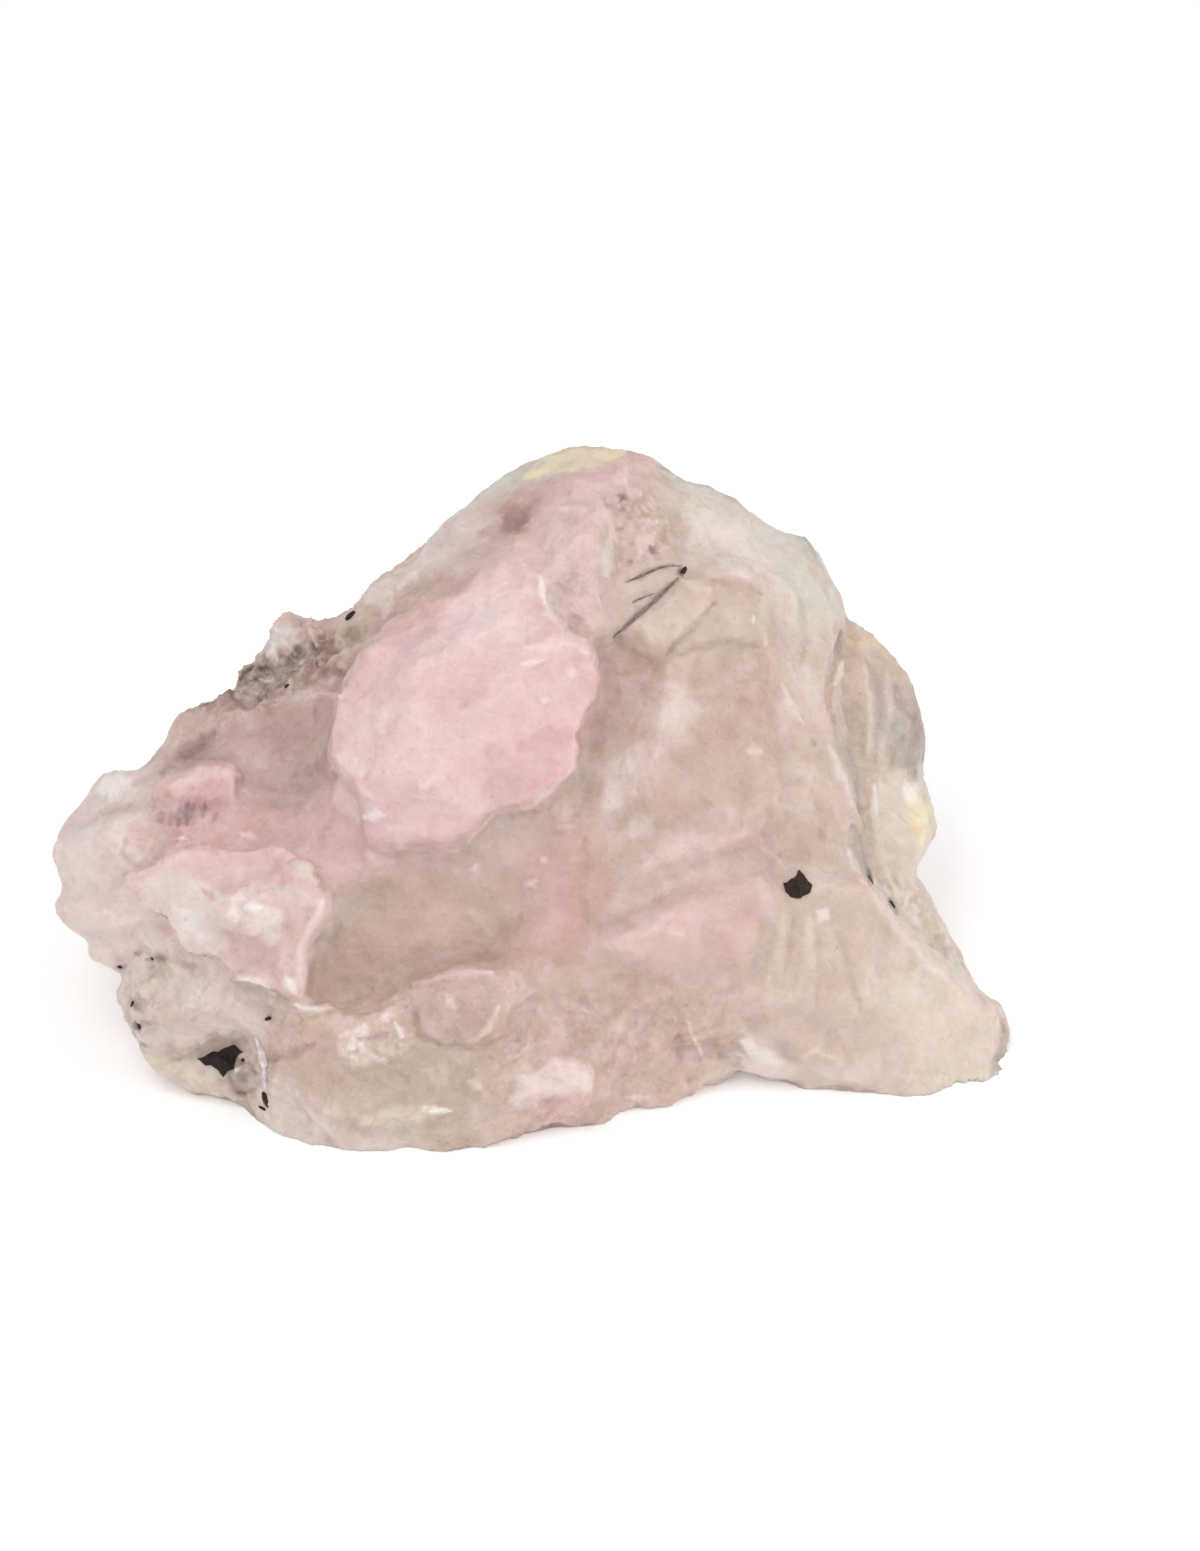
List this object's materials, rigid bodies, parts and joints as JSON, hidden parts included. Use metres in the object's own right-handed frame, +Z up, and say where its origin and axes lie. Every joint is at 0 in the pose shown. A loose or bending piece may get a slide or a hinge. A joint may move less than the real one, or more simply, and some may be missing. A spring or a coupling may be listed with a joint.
{
  "type": "rose quartz crystal",
  "caption": "Rough hand-sized lump of pale pink massive rose quartz, with a stepped, weathered face that leans back and a flat break beneath to stand it on a shelf.",
  "frame": {"origin": "middle of the bounding box in plan, on the plane of the flat break it rests on", "axes": "+X along the longest extent, +Y to the fractured back, +Z up; the show face looks towards -Y and up"},
  "size_m": [0.0804, 0.0446, 0.043],
  "materials": {
    "rose_quartz": "weathered break of massive quartz: milky, half see-through, pale pink with beige and mauve, dull in the hollows and glossy on small fresh facets"
  },
  "bodies": {
    "root": {"rose_quartz_crystal": "rose_quartz"}
  },
  "joints": []
}
